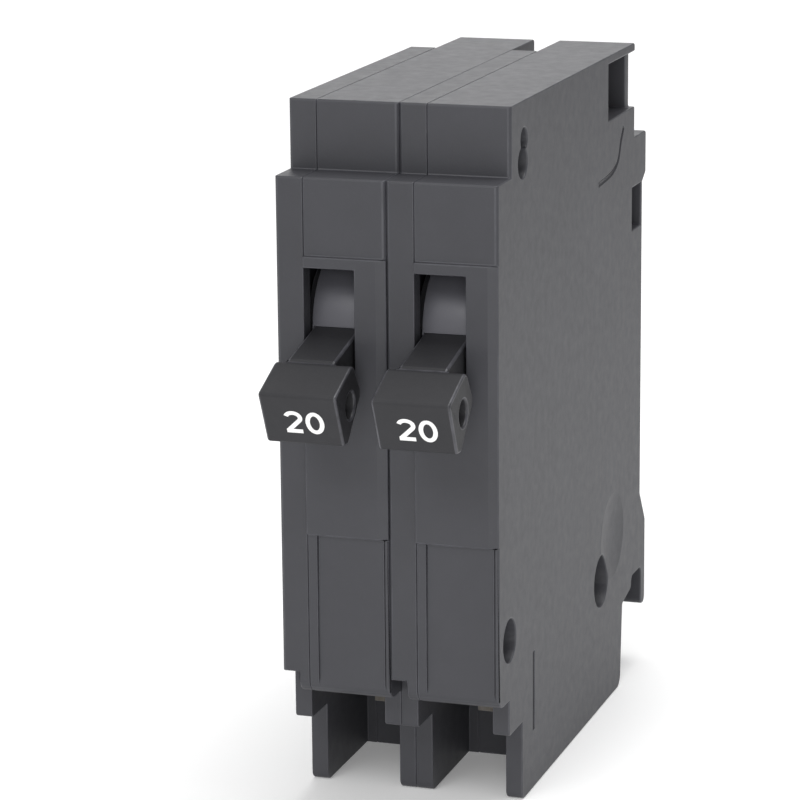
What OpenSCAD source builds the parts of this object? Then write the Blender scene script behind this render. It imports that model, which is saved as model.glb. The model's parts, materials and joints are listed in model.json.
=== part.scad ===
// Tandem plug-in circuit breaker: two half-width poles side by side in one case, each with
// its own handle, trip mechanism, line jaw and wire terminal. Both handles stand at off.
// +X is to the right, +Y runs from the handles back to the panel, +Z is up.
// Inside each module y = 0 is the front face and x = 0 is the left side of that pole.

/* [Case] */
// Width of one pole; two of them make the case
pole_w = 12.7; // [12.5:0.1:13.5]
// Height of the case
case_h = 80.2; // [79.5:0.1:81]
// Depth from the front face to the main rear face
case_d = 62.6; // [62.2:0.1:63]
// Thickness of the side walls
wall = 1.6; // [1.2:0.1:1.8]
// Thickness of the front, top, bottom and rear walls
rim = 2.2; // [2:0.1:2.4]
// Width of the thin cover on the left of each pole
cover_w = 3.2; // [3:0.1:3.3]

/* [Front] */
// Height at which the front section ends and the top block begins
step_z = 72.4; // [72:0.1:73]
// How far the top block stands back from the front face
top_setback = 4.9; // [4.2:0.1:5]
// Height of the lower edge of the front section
front_low_z = 16; // [15.6:0.1:16.1]
// How far the raised panel round the window stands proud
panel_proud = 0.4; // [0.2:0.1:0.6]
// Width of the bevel down the right edge of the raised panel
panel_bevel = 1.1; // [0.6:0.1:1.4]
// Lower and upper edge of the raised panel
panel_z = [32.2, 63.7]; // [30:0.1:66]
// Lower and upper edge of the handle window
window_z = [47.2, 62.4]; // [46:0.1:63]
// Width of the handle window, from the cover to its right edge
window_w = 5.9; // [5.8:0.1:6.2]
// Depth of the shallow label field low on the front
label_depth = 0.1; // [0.1:0.05:0.3]
// Size of the chamfer on the upright edges, which leaves a groove where the poles meet
edge_chamfer = 0.3; // [0.2:0.05:0.4]

/* [Wire bay] */
// Thickness of the fins beside each wire bay
fin_t = 2; // [1.8:0.1:2.1]
// Face of the cross wall behind each wire bay
bay_back_y = 23.4; // [23:0.1:24]
// Lower edge of the rounded lip across each bay
lip_z = 13.5; // [13.2:0.1:13.8]
// Height of the terminal screw above the bottom
screw_z = 11.9; // [11.7:0.1:12]
// Radius of the terminal screw head
screw_head_r = 3.1; // [2.8:0.1:3.2]
// Radius of the terminal screw thread
screw_r = 2; // [1.8:0.1:2.1]

/* [Handle] */
// Height of the handle axis
axis_z = 55; // [54.8:0.1:55.2]
// Distance of the handle axis behind the front face
axis_y = 10; // [9.8:0.1:10.2]
// Radius of the handle hub
hub_r = 6.9; // [6.7:0.1:7]
// Thickness of the curved shield that closes the window round the neck
shield_t = 0.7; // [0.5:0.05:0.75]
// Radius of the handle-tie hole
tie_r = 1.5; // [1.2:0.1:1.6]
// Radial running clearance between a pin and the part that turns on it
running = 0.05; // [0.03:0.01:0.1]

/* [Panel fit] */
// Depth from the front face to the back of the rail hook
hook_y = 65.3; // [65:0.1:66]
// Thickness of the lip of the rail hook
hook_t = 1.9; // [1.6:0.1:2.1]
// Height of the opening of the line slot
slot_h = 6.8; // [6.6:0.1:7]
// Front end of the line slot
slot_y = 46; // [45.7:0.1:46.2]

/* [Hidden] */
$fn = 64;
arc_steps = 6;
over = 1;
SIDES = ["left", "right"];
POLE_PARTS = [
    "cover", "base", "handle", "slot_shield", "pivot_pins", "contact_arm", "moving_contact",
    "stationary_contact", "line_terminal", "line_jaw", "cradle", "toggle_spring", "bimetal",
    "magnet_yoke", "armature", "braid", "load_terminal", "terminal_screw", "wire_clamp",
    "calibration_screw", "arc_plates"
];

handle_reach = 12.2;
centre_y = (hook_y - handle_reach) / 2;
mid_x = (wall + pole_w - wall) / 2;
fin_z = 9.3;
fin_front_y = 4;
fin_tip_y = 9.2;
foot_y = 53.2;
top_rear_y = 58.5;
tab_y = 64.3;
tab_z = [62.4, 68.6];
notch_y = 48.4;
hook_gap_z = 12.6;
hook_low_z = 7.5;
hook_gap_y = 58.5;
chamber_wall = 2.2;
post_t = 1.6;
post_x = 8.2;
side_window_depth = 0.8;
label_x = [4.4, pole_w - 0.5];
rear_notch_y = [57.6, case_d - 0.7];
rear_notch_z = [57.1, tab_z[0]];
rear_notch_depth = 3;

// Copper straps: their width in each pole, thickness and heights where they pass a wall
strap_x = [4, 8.7];
strap_t = 1.2;
line_strap_z = 73.5;
load_strap_z = 6.9;
calibration_y = 12.5;
calibration_r = 1.3;

handle_axis = [axis_y, axis_z];
arm_axis = [22, 47];
cradle_axis = [50, 47];
armature_axis = [27.8, 21.2];
handle_pin_r = 1.5;
lever_pin_r = 1.2;
armature_pin_r = 0.8;
pin_sink = 0.8;

// Rivets: y, z and radius of the recess for the head
RIVETS = [[43.7, 16.2, 3.2], [4.2, 20.5, 2.5], [9.5, 73.4, 1.8]];
rivet_r = 1.2;
rivet_head_t = 0.9;
recess_boss = 0.7;
cover_recess = 2;
base_recess = 3;

// Side outline of the case as y, z and corner radius, from the fin tip round the front
CASE_OUTLINE = [
    [fin_tip_y, 0, 1], [fin_tip_y, fin_z, 0], [fin_front_y, fin_z, 0.5],
    [fin_front_y, front_low_z, 0], [0, front_low_z, edge_chamfer],
    [0, step_z, edge_chamfer], [top_setback, step_z, 0],
    [top_setback, case_h, edge_chamfer], [top_rear_y, case_h, 0.4],
    [top_rear_y, tab_z[1], 0], [tab_y, tab_z[1], 0.5], [tab_y, tab_z[0] + 1, 0.5],
    [case_d, tab_z[0], 0], [case_d, 22.5, 0], [hook_y, 18.5, 1], [hook_y, hook_low_z, 0.8],
    [hook_y - hook_t, hook_low_z, 0.8], [hook_y - hook_t, hook_gap_z, 0.8],
    [hook_gap_y, hook_gap_z, 0.8], [hook_gap_y, 11.2, 0.6], [foot_y + 0.9, 10.3, 0.3],
    [foot_y, 0, 1.5]
];

// Outline of the space for the mechanism
CAVITY = [
    [rim, 17.7, 0], [rim, step_z - 2, 0.6], [top_setback + rim, step_z - 2, 0],
    [top_setback + rim, case_h - 2, 0.6], [slot_y - chamber_wall, case_h - 2, 0.6],
    [slot_y - chamber_wall, 64.5, 0], [56.2, 64.5, 0.6], [56.2, 55, 0],
    [case_d - 2, 55, 0.6], [case_d - 2, 15, 0.6], [foot_y - 2, 15, 0], [foot_y - 2, 2, 0.6],
    [bay_back_y + 2, 2, 0.6], [bay_back_y + 2, 17.7, 0]
];

function unit(v) = v / norm(v);
function flat(p) = [p[0], p[1]];
function corner(a, p, b) =
    let (
        u = unit(flat(a) - flat(p)),
        v = unit(flat(b) - flat(p)),
        half = acos(u * v) / 2,
        c = flat(p) + unit(u + v) * p[2] / sin(half),
        s = flat(p) + u * p[2] / tan(half) - c,
        e = flat(p) + v * p[2] / tan(half) - c,
        from = atan2(s[1], s[0]),
        turn = atan2(e[1], e[0]) - from,
        sweep = turn > 180 ? turn - 360 : turn < -180 ? turn + 360 : turn
    )
    p[2] == 0 ? [flat(p)] : [
        for (k = [0:arc_steps])
            c + p[2] * [cos(from + sweep * k / arc_steps), sin(from + sweep * k / arc_steps)]
    ];
function rounded(pts) = [
    for (i = [0:len(pts) - 1])
        each corner(pts[(i + len(pts) - 1) % len(pts)], pts[i], pts[(i + 1) % len(pts)])
];

// Outline of a bent strip of thickness t along a path, mitred at the bends
function side_of(a, b) = let (d = unit(b - a)) [-d[1], d[0]];
function shift(path, i, t) =
    let (
        last = len(path) - 1,
        n1 = side_of(path[max(i - 1, 0)], path[max(i, 1)]),
        n2 = side_of(path[min(i, last - 1)], path[min(i + 1, last)]),
        m = unit(n1 + n2)
    )
    path[i] + m * t / (m * n1);
function strip(path, t) = concat(
    [for (i = [0:len(path) - 1]) shift(path, i, t / 2)],
    [for (i = [len(path) - 1:-1:0]) shift(path, i, -t / 2)]
);

// Smooth run through a few control points, for the braid
function between(a, b, c, d, t) =
    0.5 * (2 * b + (c - a) * t + (2 * a - 5 * b + 4 * c - d) * t * t
    + (3 * b - a - 3 * c + d) * t * t * t);
function smooth(p, steps) = [
    for (i = [0:len(p) - 2]) for (k = [0:steps - 1])
        between(p[max(i - 1, 0)], p[i], p[i + 1], p[min(i + 2, len(p) - 1)], k / steps),
    p[len(p) - 1]
];

// Tube of radius r with a few flat sides, swept along points
module tube(points, r, sides) {
    last = len(points) - 1;
    ring = function (i)
        let (
            d = unit(points[min(i + 1, last)] - points[max(i - 1, 0)]),
            w = abs(d[0]) < 0.9 ? [1, 0, 0] : [0, 1, 0],
            u = unit(cross(d, w)),
            v = cross(d, u)
        )
        [for (k = [0:sides - 1]) points[i] + r * (u * cos(360 * k / sides) + v * sin(360 * k / sides))];
    faces_between = [
        for (i = [0:last - 1]) for (k = [0:sides - 1])
            let (a = i * sides + k, b = i * sides + (k + 1) % sides)
            each [[a, b, b + sides], [a, b + sides, a + sides]]
    ];
    ends = [[for (k = [sides - 1:-1:0]) k], [for (k = [0:sides - 1]) last * sides + k]];
    polyhedron([for (i = [0:last]) each ring(i)], concat(faces_between, ends));
}

module prism(x0, x1, outline)
    translate([x0, 0, 0]) rotate([90, 0, 90]) linear_extrude(x1 - x0) polygon(outline);
module rod(x0, x1, centre, r)
    translate([x0, centre[0], centre[1]]) rotate([0, 90, 0]) cylinder(h = x1 - x0, r = r);
module rod_y(y0, y1, x, z, r)
    translate([x, y0, z]) rotate([-90, 0, 0]) cylinder(h = y1 - y0, r = r);
module block(x, y, z)
    translate([x[0], y[0], z[0]]) cube([x[1] - x[0], y[1] - y[0], z[1] - z[0]]);

module left() translate([-pole_w, -centre_y, 0]) children();
module right() translate([0, -centre_y, 0]) children();

// ---- Case ----

module wire_bay() {
    prism(fin_t, pole_w - fin_t, [
        [-over, -over], [-over, lip_z], [fin_front_y + 0.6, lip_z],
        [fin_front_y + 0.6, front_low_z], [bay_back_y, front_low_z], [bay_back_y, -over]
    ]);
}

module bay_lip(x0, x1)
    prism(x0, x1, rounded([
        [0, front_low_z + 1, 0], [0, lip_z, 1.8], [fin_front_y + 0.6, lip_z, 0],
        [fin_front_y + 0.6, front_low_z + 1, 0]
    ]));

module pin_seats() {
    rod(wall - pin_sink, pole_w - wall + pin_sink, handle_axis, handle_pin_r);
    rod(wall - pin_sink, pole_w - wall + pin_sink, arm_axis, lever_pin_r);
    rod(wall - pin_sink, pole_w - wall + pin_sink, cradle_axis, lever_pin_r);
    rod(wall - pin_sink, pole_w - wall + pin_sink, armature_axis, armature_pin_r);
}

// One shell of the case between two planes, hollowed between two others
module shell(x0, x1, hollow0, hollow1) {
    difference() {
        union() {
            difference() {
                union() {
                    prism(x0, x1, rounded(CASE_OUTLINE));
                    bay_lip(max(x0, fin_t), x1);
                }
                prism(hollow0, hollow1, rounded(CAVITY));
            }
            for (p = RIVETS) rod(max(x0, wall), min(x1, pole_w - wall), p, p[2] + recess_boss);
        }
        wire_bay();
        for (p = RIVETS) rod(-over, pole_w + over, p, rivet_r + running);
        pin_seats();
        for (x = [0, pole_w]) {
            upright_chamfer(x, 0, [-over, step_z + over]);
            upright_chamfer(x, top_setback, [step_z, case_h + over]);
        }
    }
}

module upright_chamfer(x, y, z)
    translate([x, y, z[0]]) linear_extrude(z[1] - z[0]) polygon([
        [-edge_chamfer, 0], [0, -edge_chamfer], [edge_chamfer, 0], [0, edge_chamfer]
    ]);

module cover(outer) {
    color([0.36, 0.36, 0.39]) difference() {
        shell(0, cover_w, wall, cover_w + over);
        block([-over, cover_w + over], [notch_y, top_rear_y + over], [step_z, case_h + over]);
        if (outer) for (p = RIVETS) rod(-over, cover_recess, p, p[2]);
        handle_space();
    }
}

module handle_space()
    block([cover_w, cover_w + window_w], [-over, rim + over], window_z);

module base(outer) {
    color([0.42, 0.43, 0.46]) difference() {
        union() {
            shell(cover_w, pole_w, cover_w - over, pole_w - wall);
            raised_panel();
        }
        handle_space();
        line_slot(outer);
        strap_slot([slot_y - chamber_wall, slot_y], line_strap_z);
        strap_slot([bay_back_y, bay_back_y + 2], load_strap_z);
        label_field();
        rear_notch();
        translate([mid_x, calibration_y, 0]) cylinder(h = 20, r = calibration_r);
        if (outer) side_marks();
        if (outer) for (p = RIVETS) rod(pole_w - base_recess, pole_w + over, p, p[2]);
    }
}

module strap_slot(y, z)
    block(strap_x, [y[0] - over, y[1] + over], [z - strap_t / 2, z + strap_t / 2]);

module raised_panel()
    translate([0, 0, panel_z[0]]) linear_extrude(panel_z[1] - panel_z[0]) polygon([
        [cover_w, over], [cover_w, -panel_proud], [pole_w - panel_bevel, -panel_proud],
        [pole_w, 0], [pole_w, over]
    ]);

// Chamber of the line jaw, open to the rear beside a post, and to the side on the outer pole
module line_slot(outer) {
    slot_z = [step_z, step_z + slot_h];
    block([cover_w - over, pole_w - wall], [slot_y, top_rear_y - post_t], slot_z);
    block([cover_w - over, post_x], [slot_y, top_rear_y + over], slot_z);
    if (outer) {
        block([cover_w, pole_w + over], [slot_y, top_rear_y - post_t], slot_z);
        block([pole_w - side_window_depth, pole_w + over], [slot_y, top_rear_y + over], slot_z);
    }
}

module label_field()
    block(label_x, [-over, label_depth], [0, panel_z[0]]);

module rear_notch()
    block([pole_w - rear_notch_depth, pole_w + over], rear_notch_y, rear_notch_z);

// Moulded marks on the outer side face: a shallow round dimple, a sink mark and two grooves
dimple_centre = [48.9, 20.6];
dimple_ball_r = 32;
dimple_depth = 0.45;
sink_centre = [10, 75.9];
sink_r = 1.3;
sink_depth = 1.2;
groove_y = [13.6, 14.2];
groove_z = [7, 16.3];
groove_depth = 0.3;
TAB_GROOVE = [[53.2, 70.6], [51.9, 69], [50.7, 67], [47.8, 65.9], [41.8, 65.5]];
tab_groove_w = 0.5;
tab_groove_depth = 0.2;
module side_marks() {
    translate([pole_w + dimple_ball_r - dimple_depth, dimple_centre[0], dimple_centre[1]])
        sphere(dimple_ball_r);
    rod(pole_w - sink_depth, pole_w + over, sink_centre, sink_r);
    block([pole_w - groove_depth, pole_w + over], groove_y, groove_z);
    prism(pole_w - tab_groove_depth, pole_w + over, strip(smooth(TAB_GROOVE, 5), tab_groove_w));
}

// ---- Handle ----

// Paddle at off, as y, z and corner radius
PADDLE = [
    [-handle_reach - 0.1, 51, 0.4], [-6.2, 53.5, 1.2], [-3.6, 49.7, 1.2], [-6.5, 46.8, 2],
    [-8.2, 45, 0.5], [-9.5, 45.1, 0.5]
];
// Neck from the hub out to the paddle
NECK = [[-8.2, 52.2], [-5.8, 53.5], [0, 54.8], [4, 55.7], [8, 50], [5, 48.4], [0, 47.9], [-6.2, 48.6]];
shield_x = [cover_w + 0.1, cover_w + window_w + 0.2];
neck_x = [cover_w + 0.25, cover_w + window_w - 0.25];
paddle_x = [2.2, 11];
hub_x = [2.4, 10.3];
tie_centre = [-7.3, 49.1];

module handle()
    color([0.2, 0.2, 0.22]) difference() {
        union() {
            rod(hub_x[0], hub_x[1], handle_axis, hub_r);
            prism(neck_x[0], neck_x[1], NECK);
            prism(paddle_x[0], paddle_x[1], rounded(PADDLE));
        }
        rod(hub_x[0] - over, hub_x[1] + over, handle_axis, handle_pin_r + running);
        rod(paddle_x[0] - over, paddle_x[1] + over, tie_centre, tie_r);
    }

// Curved shield on the hub, above and below the neck, that closes the window round it
module slot_shield()
    color([0.46, 0.46, 0.49]) difference() {
        rod(shield_x[0], shield_x[1], handle_axis, hub_r + shield_t);
        rod(0, pole_w, handle_axis, hub_r);
        block([0, pole_w], [handle_axis[0] - 1, 30], [40, 70]);
        prism(neck_x[0], neck_x[1], NECK);
    }

// ---- Switch mechanism ----

module pivot_pins()
    color([0.62, 0.62, 0.64]) pin_seats();

arm_x = [5.55, 7.15];
contact_z = 67.8;
contact_face_y = 32.2;

module contact_arm()
    color([0.72, 0.45, 0.3]) difference() {
        union() {
            prism(arm_x[0], arm_x[1], [
                [20.2, 46.4], [23.8, 45.6], [contact_face_y, 64.4], [contact_face_y, 70.6],
                [29.6, 70.6], [29.6, 65.2]
            ]);
            block([4.2, 8.5], [contact_face_y - 1.2, contact_face_y], [65.4, 70.6]);
            rod(4.3, 8.4, arm_axis, 2.2);
        }
        rod(3, 10, arm_axis, lever_pin_r + running);
    }

module moving_contact()
    color([0.8, 0.8, 0.82]) rod_y(contact_face_y, contact_face_y + 1, mid_x, contact_z, 1.9);

fixed_contact_y = 36.4;
module stationary_contact()
    color([0.8, 0.8, 0.82]) rod_y(fixed_contact_y, fixed_contact_y + 1, mid_x, 66, 2.1);

module line_terminal()
    color([0.75, 0.48, 0.32])
        prism(strap_x[0], strap_x[1], strip([
            [38, 62.6], [38, line_strap_z], [50, line_strap_z]
        ], strap_t));

// Spring jaw that grips the bus stab, a bent U open to the rear
module line_jaw()
    color([0.75, 0.48, 0.32])
        prism(3.4, 8, strip([
            [55.8, 75.1], [53.6, 75.7], [50.5, 74.6], [46.8, 74.5], [46.8, 77.5], [50.5, 77.4],
            [53.6, 77.1], [55.8, 77.9]
        ], 0.8));

cradle_x = [7.6, 8.8];
module cradle()
    color([0.55, 0.56, 0.58]) difference() {
        union() {
            prism(cradle_x[0], cradle_x[1], [
                [51.6, 49], [52.2, 45], [44, 40], [33, 36.4], [29.6, 36.4], [29.6, 38.4],
                [42, 43.6], [47.8, 49]
            ]);
            rod(6.6, 9.8, cradle_axis, 2.4);
        }
        rod(6, 11, cradle_axis, lever_pin_r + running);
    }

spring_from = [mid_x, 30.4, 56.2];
spring_to = [mid_x, 38.4, 45.2];
module toggle_spring() {
    along = spring_to - spring_from;
    axis = unit(along);
    across = [1, 0, 0];
    up = cross(axis, across);
    turns = 9;
    steps = 10;
    coil_r = 0.85;
    points = [
        for (k = [0:turns * steps])
            spring_from + along * k / (turns * steps)
            + coil_r * (across * cos(360 * k / steps) + up * sin(360 * k / steps))
    ];
    color([0.6, 0.6, 0.62]) tube(points, 0.25, 6);
}

// ---- Trip unit ----

module bimetal()
    color([0.66, 0.6, 0.5]) prism(5.1, 7.6, strip([[21.6, 19.4], [21.6, 24], [22.6, 42]], 0.8));

module magnet_yoke()
    color([0.5, 0.5, 0.52]) difference() {
        block([3, 9.7], [19.4, 26.2], [25, 34]);
        block([4.2, 8.5], [20.6, 27], [24, 35]);
    }

latch_z = 36;
module armature()
    color([0.52, 0.53, 0.55]) difference() {
        union() {
            prism(4.4, 9.2, [
                [27.2, 21.2], [27.2, latch_z], [29.8, latch_z], [29.8, latch_z - 1.2],
                [28.4, latch_z - 1.2], [28.4, 21.2]
            ]);
            rod(4.4, 9.2, armature_axis, 1.4);
        }
        rod(3, 11, armature_axis, armature_pin_r + running);
    }

// Flexible lead from the contact arm to the top of the bimetal
BRAID = [[4.2, 25, 51], [3.2, 27.5, 49], [3.0, 28.5, 44.5], [3.2, 26.5, 40.8], [4.3, 23.6, 40]];
module braid()
    color([0.78, 0.5, 0.33]) tube(smooth(BRAID, 6), 0.7, 8);

// ---- Wire terminal ----

module load_terminal()
    color([0.75, 0.48, 0.32]) difference() {
        prism(strap_x[0], strap_x[1], strip([
            [10.4, 18.8], [28.4, 18.8], [28.4, load_strap_z], [21, load_strap_z], [21, 15.3]
        ], strap_t));
        rod_y(19, 23, mid_x, screw_z, screw_r + running);
    }

clamp_y = 16.8;
module terminal_screw()
    color([0.6, 0.6, 0.58]) difference() {
        union() {
            rod_y(clamp_y - 2.2, clamp_y, mid_x, screw_z, screw_head_r);
            rod_y(clamp_y, 21.9, mid_x, screw_z, screw_r);
        }
        block([mid_x - 0.5, mid_x + 0.5], [14, clamp_y - 1.1], [screw_z - 4, screw_z + 4]);
    }

module wire_clamp()
    color([0.62, 0.6, 0.5]) difference() {
        block([2.8, 9.9], [clamp_y, clamp_y + 1], [8.2, 15.3]);
        rod_y(clamp_y - 1, clamp_y + 2, mid_x, screw_z, screw_r + running);
    }

module calibration_screw()
    color([0.7, 0.6, 0.35]) difference() {
        translate([mid_x, calibration_y, front_low_z]) cylinder(h = 18.2 - front_low_z, r = calibration_r);
        block([mid_x - 0.3, mid_x + 0.3], [10, 15], [front_low_z - 1, front_low_z + 0.6]);
    }

module arc_plates()
    color([0.5, 0.5, 0.52]) for (z = [72.2, 74.2, 76.2]) difference() {
        block([wall, pole_w - wall], [23.5, 35.5], [z, z + 1]);
        block([mid_x - 1.6, mid_x + 1.6], [30.5, 36], [z - 1, z + 2]);
    }

// ---- Shared fasteners ----

module case_rivets()
    color([0.45, 0.42, 0.36]) translate([0, -centre_y, 0]) for (p = RIVETS) {
        rod(-pole_w + cover_recess, pole_w - base_recess, p, rivet_r);
        rod(-pole_w + cover_recess - rivet_head_t, -pole_w + cover_recess, p, p[2] - 0.2);
        rod(pole_w - base_recess, pole_w - base_recess + rivet_head_t, p, p[2] - 0.2);
    }

left() cover(outer = true);  // left_cover
left() base(outer = false);  // left_base
left() handle();  // left_handle
left() slot_shield();  // left_slot_shield
left() pivot_pins();  // left_pivot_pins
left() contact_arm();  // left_contact_arm
left() moving_contact();  // left_moving_contact
left() stationary_contact();  // left_stationary_contact
left() line_terminal();  // left_line_terminal
left() line_jaw();  // left_line_jaw
left() cradle();  // left_cradle
left() toggle_spring();  // left_toggle_spring
left() bimetal();  // left_bimetal
left() magnet_yoke();  // left_magnet_yoke
left() armature();  // left_armature
left() braid();  // left_braid
left() load_terminal();  // left_load_terminal
left() terminal_screw();  // left_terminal_screw
left() wire_clamp();  // left_wire_clamp
left() calibration_screw();  // left_calibration_screw
left() arc_plates();  // left_arc_plates
right() cover(outer = false);  // right_cover
right() base(outer = true);  // right_base
right() handle();  // right_handle
right() slot_shield();  // right_slot_shield
right() pivot_pins();  // right_pivot_pins
right() contact_arm();  // right_contact_arm
right() moving_contact();  // right_moving_contact
right() stationary_contact();  // right_stationary_contact
right() line_terminal();  // right_line_terminal
right() line_jaw();  // right_line_jaw
right() cradle();  // right_cradle
right() toggle_spring();  // right_toggle_spring
right() bimetal();  // right_bimetal
right() magnet_yoke();  // right_magnet_yoke
right() armature();  // right_armature
right() braid();  // right_braid
right() load_terminal();  // right_load_terminal
right() terminal_screw();  // right_terminal_screw
right() wire_clamp();  // right_wire_clamp
right() calibration_screw();  // right_calibration_screw
right() arc_plates();  // right_arc_plates
case_rivets();
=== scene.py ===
import json
import math

import bpy
from mathutils import Matrix, Vector


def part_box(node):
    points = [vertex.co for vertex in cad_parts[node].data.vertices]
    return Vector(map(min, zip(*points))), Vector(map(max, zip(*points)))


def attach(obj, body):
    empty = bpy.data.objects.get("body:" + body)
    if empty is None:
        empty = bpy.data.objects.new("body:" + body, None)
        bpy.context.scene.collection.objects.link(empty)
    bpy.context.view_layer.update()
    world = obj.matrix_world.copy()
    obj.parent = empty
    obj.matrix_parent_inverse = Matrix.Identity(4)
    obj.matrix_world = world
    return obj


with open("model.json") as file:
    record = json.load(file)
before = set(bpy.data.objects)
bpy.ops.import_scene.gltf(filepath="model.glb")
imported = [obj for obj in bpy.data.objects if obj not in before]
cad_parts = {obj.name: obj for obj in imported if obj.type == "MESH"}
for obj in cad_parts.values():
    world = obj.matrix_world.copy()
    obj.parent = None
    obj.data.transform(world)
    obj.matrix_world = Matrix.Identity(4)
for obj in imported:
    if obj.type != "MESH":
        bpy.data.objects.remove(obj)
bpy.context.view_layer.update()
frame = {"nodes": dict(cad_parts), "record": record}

SIDES = ("left", "right")
MM = 0.001

# The front face of the case, from which depths are measured
FRONT_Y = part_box("left_cover")[0].y


def at(x, y, z):
    """A point in millimetres, y back from the front face, in the frame's metres."""
    return Vector((x * MM, FRONT_Y + y * MM, z * MM))


# ---------------------------------------------------------------- node helpers

class Graph:
    """A material's node tree, with short calls for the nodes that the materials share."""

    def __init__(self, name):
        self.material = bpy.data.materials.new(name)
        self.material.use_nodes = True
        self.tree = self.material.node_tree
        self.shader = self.tree.nodes["Principled BSDF"]
        self.place = self.tree.nodes.new("ShaderNodeTexCoord").outputs["Object"]

    def add(self, kind, **values):
        node = self.tree.nodes.new(kind)
        for key, value in values.items():
            setattr(node, key, value)
        return node

    def link(self, source, target):
        self.tree.links.new(source, target)

    def stretched(self, stretch):
        """Object coordinates stretched by a factor along each axis."""
        node = self.add("ShaderNodeMapping")
        node.inputs["Scale"].default_value = stretch
        self.link(self.place, node.inputs["Vector"])
        return node.outputs["Vector"]

    def noise(self, size, detail=3.0, rough=0.5, coords=None):
        """Noise whose features are about `size` metres across."""
        node = self.add("ShaderNodeTexNoise")
        node.inputs["Scale"].default_value = 1.0 / size
        node.inputs["Detail"].default_value = detail
        node.inputs["Roughness"].default_value = rough
        self.link(coords or self.place, node.inputs["Vector"])
        return node.outputs["Fac"]

    def spread(self, value, low, high, to_low=0.0, to_high=1.0):
        """Maps the range low..high of a value to to_low..to_high, clamped."""
        node = self.add("ShaderNodeMapRange")
        node.inputs["From Min"].default_value = low
        node.inputs["From Max"].default_value = high
        node.inputs["To Min"].default_value = to_low
        node.inputs["To Max"].default_value = to_high
        self.link(value, node.inputs["Value"])
        return node.outputs["Result"]

    def mix(self, factor, first, second):
        """Mixes two colours, each a colour or a socket, by a factor socket."""
        node = self.add("ShaderNodeMix", data_type="RGBA")
        self.link(factor, node.inputs["Factor"])
        for socket, value in ((node.inputs[6], first), (node.inputs[7], second)):
            if isinstance(value, tuple):
                socket.default_value = (*value, 1.0)
            else:
                self.link(value, socket)
        return node.outputs[2]

    def bump(self, height, strength, distance, under=None):
        """Normals of a height socket, on top of another bump's normals if `under` is given."""
        node = self.add("ShaderNodeBump")
        node.inputs["Strength"].default_value = strength
        node.inputs["Distance"].default_value = distance
        self.link(height, node.inputs["Height"])
        if under is not None:
            self.link(under, node.inputs["Normal"])
        return node.outputs["Normal"]

    def finish(self, colour, roughness, normal, metallic=0.0, **plain):
        """Links the sockets to the shader, sets its plain inputs by name and returns the material."""
        self.link(colour, self.shader.inputs["Base Color"])
        self.link(roughness, self.shader.inputs["Roughness"])
        self.link(normal, self.shader.inputs["Normal"])
        self.shader.inputs["Metallic"].default_value = metallic
        for key, value in plain.items():
            self.shader.inputs[key.replace("_", " ")].default_value = value
        return self.material


def scaled(colour, factor):
    """A colour made lighter or darker, with no channel above 1."""
    return tuple(min(1.0, c * factor) for c in colour)


# ---------------------------------------------------------------- materials

PLASTIC_IOR = 1.42
PLASTIC_GRAIN = 0.35
FLOW_STRETCH = (1.0, 1.0, 0.2)
ROLLING_STRETCH = (1.0, 0.05, 0.05)


def moulded_plastic(name, colour, gloss, wear_and_highlight=1.0):
    """Thermoset moulding: cloudy filler, flow marks down the part and a fine eroded grain.

    A wear factor above 1 is for the rounded edges, rubbed and lit by a painted highlight: how many times
    lighter they are than the moulding.
    """
    g = Graph(name)
    cloud = g.spread(g.noise(9 * MM, 5.0, 0.6), 0.3, 0.7)
    flow = g.spread(g.noise(5 * MM, 3.0, 0.5, g.stretched(FLOW_STRETCH)), 0.3, 0.7)
    speck = g.spread(g.noise(0.3 * MM, 2.0, 0.6), 0.60, 0.75)
    body = g.mix(cloud, scaled(colour, 0.93), scaled(colour, 1.07))
    body = g.mix(g.spread(flow, 0.0, 1.0, 0.0, 0.25), body, scaled(colour, 0.90))
    body = g.mix(g.spread(speck, 0.0, 1.0, 0.0, 0.2), body, scaled(colour, 1.35))
    # Painted highlight and rubbing: the rounded edges are mixed 20 to 60 percent towards a lighter colour
    # along a rub noise.
    if wear_and_highlight > 1.0:
        rub_and_highlight_mask = g.spread(g.noise(3.5 * MM, 4.0, 0.65), 0.42, 0.62)
        body = g.mix(g.spread(rub_and_highlight_mask, 0.0, 1.0, 0.2, 0.6), body, scaled(colour, wear_and_highlight))
    roughness = g.spread(g.noise(1.4 * MM, 4.0, 0.6), 0.25, 0.75, gloss - 0.04, gloss + 0.05)
    fine = g.bump(g.noise(0.28 * MM, 2.0, 0.55), PLASTIC_GRAIN, 0.03 * MM)
    normal = g.bump(g.noise(8 * MM, 2.0, 0.5), 0.08, 0.12 * MM, fine)
    return g.finish(body, roughness, normal, IOR=PLASTIC_IOR)


def rolled_metal(name, colour, gloss, tarnish):
    """Sheet metal: fine rolling lines across X, and cloudy tarnish that is also rougher."""
    g = Graph(name)
    lines = g.noise(0.12 * MM, 3.0, 0.6, g.stretched(ROLLING_STRETCH))
    cloud = g.spread(g.noise(2.5 * MM, 4.0, 0.6), 0.35, 0.7)
    body = g.mix(cloud, colour, tarnish)
    body = g.mix(g.spread(lines, 0.3, 0.7, 0.0, 0.25), body, scaled(colour, 0.6))
    roughness = g.spread(cloud, 0.0, 1.0, gloss, gloss + 0.22)
    normal = g.bump(lines, 0.3, 0.02 * MM)
    return g.finish(body, roughness, normal, metallic=1.0)


def printed_ink(name, colour):
    """Pad-printed ink: nearly even, with thin patches that are darker."""
    g = Graph(name)
    thin = g.spread(g.noise(0.22 * MM, 3.0, 0.6), 0.55, 0.8, 0.0, 0.35)
    body = g.mix(thin, colour, scaled(colour, 0.6))
    roughness = g.spread(g.noise(0.6 * MM), 0.3, 0.7, 0.45, 0.6)
    normal = g.bump(g.noise(0.28 * MM, 2.0, 0.55), 0.3, 0.02 * MM)
    return g.finish(body, roughness, normal)


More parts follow.
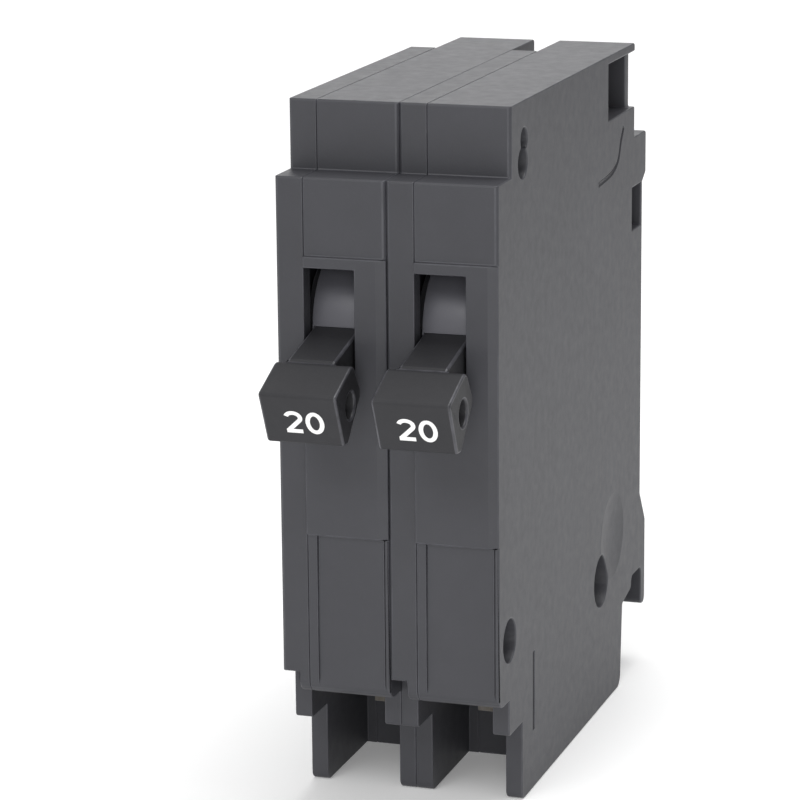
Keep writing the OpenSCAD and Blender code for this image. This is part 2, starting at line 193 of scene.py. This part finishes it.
def light_table(name, colour, glow):
    """White sheet of a light table: nearly even, with a weak glow of its own."""
    g = Graph(name)
    g.shader.inputs["Emission Color"].default_value = (1, 1, 1, 1)
    g.shader.inputs["Emission Strength"].default_value = glow
    cloud = g.spread(g.noise(0.25, 4.0, 0.5), 0.3, 0.7)
    body = g.mix(cloud, colour, scaled(colour, 0.985))
    roughness = g.spread(g.noise(0.02, 3.0, 0.5), 0.3, 0.7, 0.75, 0.85)
    normal = g.bump(g.noise(0.004, 3.0, 0.5), 0.05, 0.1 * MM)
    return g.finish(body, roughness, normal)


CASE_GREY = (0.047, 0.0475, 0.0545)
COVER_GREY = (0.045, 0.0455, 0.052)
HANDLE_BLACK = (0.021, 0.021, 0.024)
SHIELD_GREY = (0.105, 0.105, 0.120)

# Colour, roughness, roughness of the rubbed edges and how much lighter those are, from rubbing and a
# painted highlight
PLASTICS = {
    "case_plastic": (CASE_GREY, 0.50, 0.42, 1.7),
    "cover_plastic": (COVER_GREY, 0.50, 0.42, 1.7),
    "handle_plastic": (HANDLE_BLACK, 0.58, 0.38, 5.5),
    "shield_plastic": (SHIELD_GREY, 0.45, 0.38, 1.5),
}
METALS = {
    "steel": ((0.55, 0.55, 0.56), 0.30, (0.30, 0.29, 0.28)),
    "plated_steel": ((0.40, 0.40, 0.37), 0.40, (0.26, 0.24, 0.20)),
    "spring_steel": ((0.45, 0.45, 0.47), 0.28, (0.25, 0.25, 0.26)),
    "screw_steel": ((0.36, 0.35, 0.33), 0.38, (0.20, 0.18, 0.15)),
    "rivet_steel": ((0.20, 0.19, 0.18), 0.45, (0.10, 0.09, 0.08)),
    "copper": ((0.72, 0.38, 0.24), 0.30, (0.36, 0.17, 0.10)),
    "plated_copper": ((0.30, 0.29, 0.27), 0.46, (0.19, 0.16, 0.13)),
    "braid_copper": ((0.70, 0.36, 0.22), 0.42, (0.34, 0.16, 0.09)),
    "silver": ((0.82, 0.82, 0.80), 0.22, (0.50, 0.48, 0.44)),
    "bimetal": ((0.50, 0.47, 0.42), 0.32, (0.34, 0.28, 0.22)),
    "brass": ((0.70, 0.55, 0.28), 0.30, (0.40, 0.28, 0.12)),
}

METAL_EDGE_LIGHTER = 1.15
METAL_EDGE_SMOOTHER = 0.06
INK_WHITE = (0.86, 0.86, 0.85)
FLOOR_WHITE = (0.95, 0.95, 0.95)
FLOOR_GLOW = 0.15

# What each material slot looks like, on its faces and on its rounded edges
LOOKS, EDGES = {}, {}
for slot_name, (colour, gloss, edge_gloss, wear_and_highlight) in PLASTICS.items():
    LOOKS[slot_name] = moulded_plastic(slot_name + "_look", colour, gloss)
    # The plastic edge looks are painted lighter than the faces: rubbing plus a painted highlight on the
    # rounded edges.
    EDGES[slot_name] = moulded_plastic(slot_name + "_edge_look", colour, edge_gloss, wear_and_highlight)
for slot_name, (colour, gloss, tarnish) in METALS.items():
    LOOKS[slot_name] = rolled_metal(slot_name + "_look", colour, gloss, tarnish)
    bright = scaled(colour, METAL_EDGE_LIGHTER)
    EDGES[slot_name] = rolled_metal(slot_name + "_edge_look", bright, gloss - METAL_EDGE_SMOOTHER, colour)
INK = printed_ink("ink_look", INK_WHITE)
FLOOR = light_table("floor_look", FLOOR_WHITE, FLOOR_GLOW)

# ---------------------------------------------------------------- CAD nodes: looks and rounded edges

# Width in millimetres of the rounded edges of each kind of node
EDGE_WIDTH = {
    "cover": 0.18, "base": 0.25, "handle": 0.38, "slot_shield": 0.10, "terminal_screw": 0.20,
    "line_jaw": 0.12, "line_terminal": 0.12, "load_terminal": 0.12, "wire_clamp": 0.15,
}
SMALL_EDGE = 0.08
NOT_BEVELLED = ("toggle_spring", "braid")
EDGE_ANGLE = math.radians(25)
EDGE_SEGMENTS = 3
WELD_GAP = 0.02 * MM
FLAT_ANGLE = math.radians(0.5)


def dress(node, slot_name, width):
    """Gives a CAD node its look, and rounds its edges with modifiers that leave its own mesh alone."""
    obj = frame["nodes"][node]
    mesh = obj.data
    while len(obj.material_slots) < 2:
        mesh.materials.append(None)
    obj.material_slots[0].material = LOOKS[slot_name]
    obj.material_slots[1].material = EDGES[slot_name]
    if width <= 0:
        return
    weld = obj.modifiers.new("weld", "WELD")
    weld.merge_threshold = WELD_GAP
    flat = obj.modifiers.new("flat", "DECIMATE")
    flat.decimate_type = "DISSOLVE"
    flat.angle_limit = FLAT_ANGLE
    round_edges = obj.modifiers.new("round_edges", "BEVEL")
    round_edges.offset_type = "WIDTH"
    round_edges.width = width * MM
    round_edges.segments = EDGE_SEGMENTS
    round_edges.limit_method = "ANGLE"
    round_edges.angle_limit = EDGE_ANGLE
    # The rounded edges take the edge look, which on plastic is painted lighter: rubbing and a painted
    # highlight.
    round_edges.material = 1
    round_edges.harden_normals = True
    round_edges.use_clamp_overlap = False


SLOT_OF = {row["node"]: row["material_slot"] for row in frame["record"]["subparts"]}
for node in frame["nodes"]:
    part = node.split("_", 1)[1]
    width = 0.0 if part in NOT_BEVELLED else EDGE_WIDTH.get(part, SMALL_EDGE)
    dress(node, SLOT_OF[node], width)


# ---------------------------------------------------------------- rating numerals on the handles

def arc(cx, cy, rx, ry, start, end, steps=24):
    """Points along part of an ellipse, from one angle to another in degrees."""
    return [
        Vector((cx + rx * math.cos(math.radians(a)), cy + ry * math.sin(math.radians(a))))
        for a in (start + (end - start) * k / steps for k in range(steps + 1))
    ]


def ribbon(path, half, closed=False):
    """Points of a flat stroke along a path: left and right edge, mitred."""
    count = len(path)
    left, right = [], []
    for i, p in enumerate(path):
        before = path[(i - 1) % count] if closed or i > 0 else p
        after = path[(i + 1) % count] if closed or i < count - 1 else p
        ahead = (after - before).normalized()
        side = Vector((-ahead.y, ahead.x)) * half
        left.append(p + side)
        right.append(p - side)
    return left, right


# How much thicker each stroke of ink is than the one before it, so that two never share a face
STROKE_STEP = 0.3


def stroke_mesh(name, strokes, thick):
    """One mesh of flat ribbons about `thick` deep, each a little thicker than the one before it."""
    verts, faces = [], []
    for layer, (path, half, closed) in enumerate(strokes):
        left, right = ribbon(path, half, closed)
        n, first = len(path), len(verts)
        for depth in (thick * (1.0 + STROKE_STEP * layer), 0.0):
            verts += [(p.x, p.y, depth) for p in left] + [(p.x, p.y, depth) for p in right]
        for i in range(n if closed else n - 1):
            j = (i + 1) % n
            top_l, top_r = first + i, first + n + i
            next_l, next_r = first + j, first + n + j
            down = 2 * n
            faces.append((top_l, top_r, next_r, next_l))
            faces.append((top_l + down, next_l + down, next_r + down, top_r + down))
            faces.append((top_l, next_l, next_l + down, top_l + down))
            faces.append((top_r, top_r + down, next_r + down, next_r))
        if not closed:
            for i, flip in ((0, False), (n - 1, True)):
                a, b, c, d = first + i, first + i + 2 * n, first + 3 * n + i, first + n + i
                faces.append((a, d, c, b) if flip else (a, b, c, d))
    mesh = bpy.data.meshes.new(name)
    mesh.from_pydata(verts, [], faces)
    mesh.materials.append(INK)
    mesh.update()
    return mesh


NUMERAL_H = 2.95 * MM
NUMERAL_W = 2.1 * MM
NUMERAL_GAP = 0.3 * MM
# Half the height of the bowl of the 2, as a share of half the height of the numeral
BOWL_SHARE = 0.52
# Half the width of a stroke
NUMERAL_STROKE = 0.25 * MM
# Where the pair stands: below and to the right of the middle of the paddle's face
NUMERAL_DROP = 0.3 * MM
NUMERAL_SHIFT = 0.35 * MM
INK_THICK = 0.02 * MM
INK_LIFT = 0.01 * MM


def numeral_strokes():
    """The plain numerals 2 and 0 about the middle of the pair, x across and y up."""
    half_w, half_h = NUMERAL_W / 2 - NUMERAL_STROKE, NUMERAL_H / 2 - NUMERAL_STROKE
    shift = (NUMERAL_W + NUMERAL_GAP) / 2
    bowl = half_h * BOWL_SHARE
    two = arc(-shift, half_h - bowl, half_w, bowl, 165, -35)
    two += [Vector((-shift - half_w, -half_h))]
    foot = [
        Vector((-shift - half_w - NUMERAL_STROKE * 0.6, -half_h)),
        Vector((-shift + half_w * 1.1, -half_h)),
    ]
    nought = arc(shift, 0.0, half_w, half_h, 0, 345, 23)
    return [(two, NUMERAL_STROKE, False), (foot, NUMERAL_STROKE, False), (nought, NUMERAL_STROKE, True)]


# The upper and lower edge of the paddle's face: y and z in millimetres
PADDLE_TOP = (-12.3, 51.0)
PADDLE_BOTTOM = (-9.5, 45.1)


def add_numerals(side):
    """Puts the pair of numerals on the face of one handle's paddle, and lets it ride with the handle."""
    mesh = stroke_mesh(side + "_rating_numerals", numeral_strokes(), INK_THICK)
    obj = bpy.data.objects.new(side + "_rating_numerals", mesh)
    bpy.context.scene.collection.objects.link(obj)
    low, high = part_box(side + "_handle")
    top, bottom = at(0, *PADDLE_TOP), at(0, *PADDLE_BOTTOM)
    up = (top - bottom).normalized()
    across = Vector((1, 0, 0))
    out = across.cross(up)
    middle = (top + bottom) / 2 - up * NUMERAL_DROP
    middle.x = (low.x + high.x) / 2 + NUMERAL_SHIFT
    turn = Matrix((across, up, out)).transposed().to_4x4()
    mesh.transform(Matrix.Translation(middle + out * INK_LIFT) @ turn)
    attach(obj, side + "_handle_body")


for side in SIDES:
    add_numerals(side)


# ---------------------------------------------------------------- floor, light and camera

FLOOR_HALF = 3.0


def add_floor():
    """A wide white floor at the height of the breaker's underside, which is no part of the object."""
    half = FLOOR_HALF
    corners = [(-half, -half, 0), (half, -half, 0), (half, half, 0), (-half, half, 0)]
    mesh = bpy.data.meshes.new("floor")
    mesh.from_pydata(corners, [], [(0, 1, 2, 3)])
    mesh.materials.append(FLOOR)
    obj = bpy.data.objects.new("floor", mesh)
    bpy.context.scene.collection.objects.link(obj)


def add_light(name, where, aim, size, watts):
    """A round white area light at a place, aimed at a point."""
    data = bpy.data.lights.new(name, "AREA")
    data.shape = "DISK"
    data.size = size
    data.energy = watts
    obj = bpy.data.objects.new(name, data)
    obj.location = where
    obj.rotation_mode = "QUATERNION"
    obj.rotation_quaternion = (Vector(aim) - Vector(where)).to_track_quat("-Z", "Y")
    bpy.context.scene.collection.objects.link(obj)


# Name, place, size across in metres and power in watts
LIGHTS = (
    ("key_above", (0.10, 0.12, 0.75), 0.5, 3.5),
    ("fill_front", (-0.15, -0.70, 0.70), 0.5, 3.3),
    ("low_front", (0.22, -0.85, 0.16), 0.4, 1.9),
    ("glance_top", (-0.28, 0.83, 0.34), 0.5, 1.0),
)
CENTRE = Vector((0, 0, 0.04))
WORLD_STRENGTH = 0.38

add_floor()
for light_name, place, size, watts in LIGHTS:
    add_light(light_name, place, CENTRE, size, watts)

world = bpy.data.worlds.new("studio")
world.use_nodes = True
world.node_tree.nodes["Background"].inputs["Color"].default_value = (1, 1, 1, 1)
world.node_tree.nodes["Background"].inputs["Strength"].default_value = WORLD_STRENGTH
bpy.context.scene.world = world
bpy.context.scene.view_settings.view_transform = "Standard"

# The photo's view, fitted to the corners and outlines of the case
CAMERA_AZIMUTH = math.radians(18.26)
CAMERA_ELEVATION = math.radians(13.48)
CAMERA_ROLL = math.radians(-0.52)
CAMERA_DISTANCE = 409.5 * MM
CAMERA_LENS = 155.5
CAMERA_SENSOR = 36.0
CAMERA_CLIP = (0.01, 20.0)
CAMERA_TARGET = at(-8.42, 30, 40.68)


def add_camera():
    """A camera that looks at the target from the fitted direction and distance."""
    a, e, r = CAMERA_AZIMUTH, CAMERA_ELEVATION, CAMERA_ROLL
    back = Vector((math.sin(a) * math.cos(e), -math.cos(a) * math.cos(e), math.sin(e)))
    level = Vector((math.cos(a), math.sin(a), 0))
    up = back.cross(level)
    right = level * math.cos(r) + up * math.sin(r)
    top = up * math.cos(r) - level * math.sin(r)
    data = bpy.data.cameras.new("camera")
    data.lens = CAMERA_LENS
    data.sensor_width = CAMERA_SENSOR
    data.clip_start, data.clip_end = CAMERA_CLIP
    obj = bpy.data.objects.new("camera", data)
    place = Matrix.Translation(CAMERA_TARGET + back * CAMERA_DISTANCE)
    turn = Matrix((right, top, back)).transposed().to_4x4()
    obj.matrix_world = place @ turn
    bpy.context.scene.collection.objects.link(obj)
    bpy.context.scene.camera = obj


add_camera()
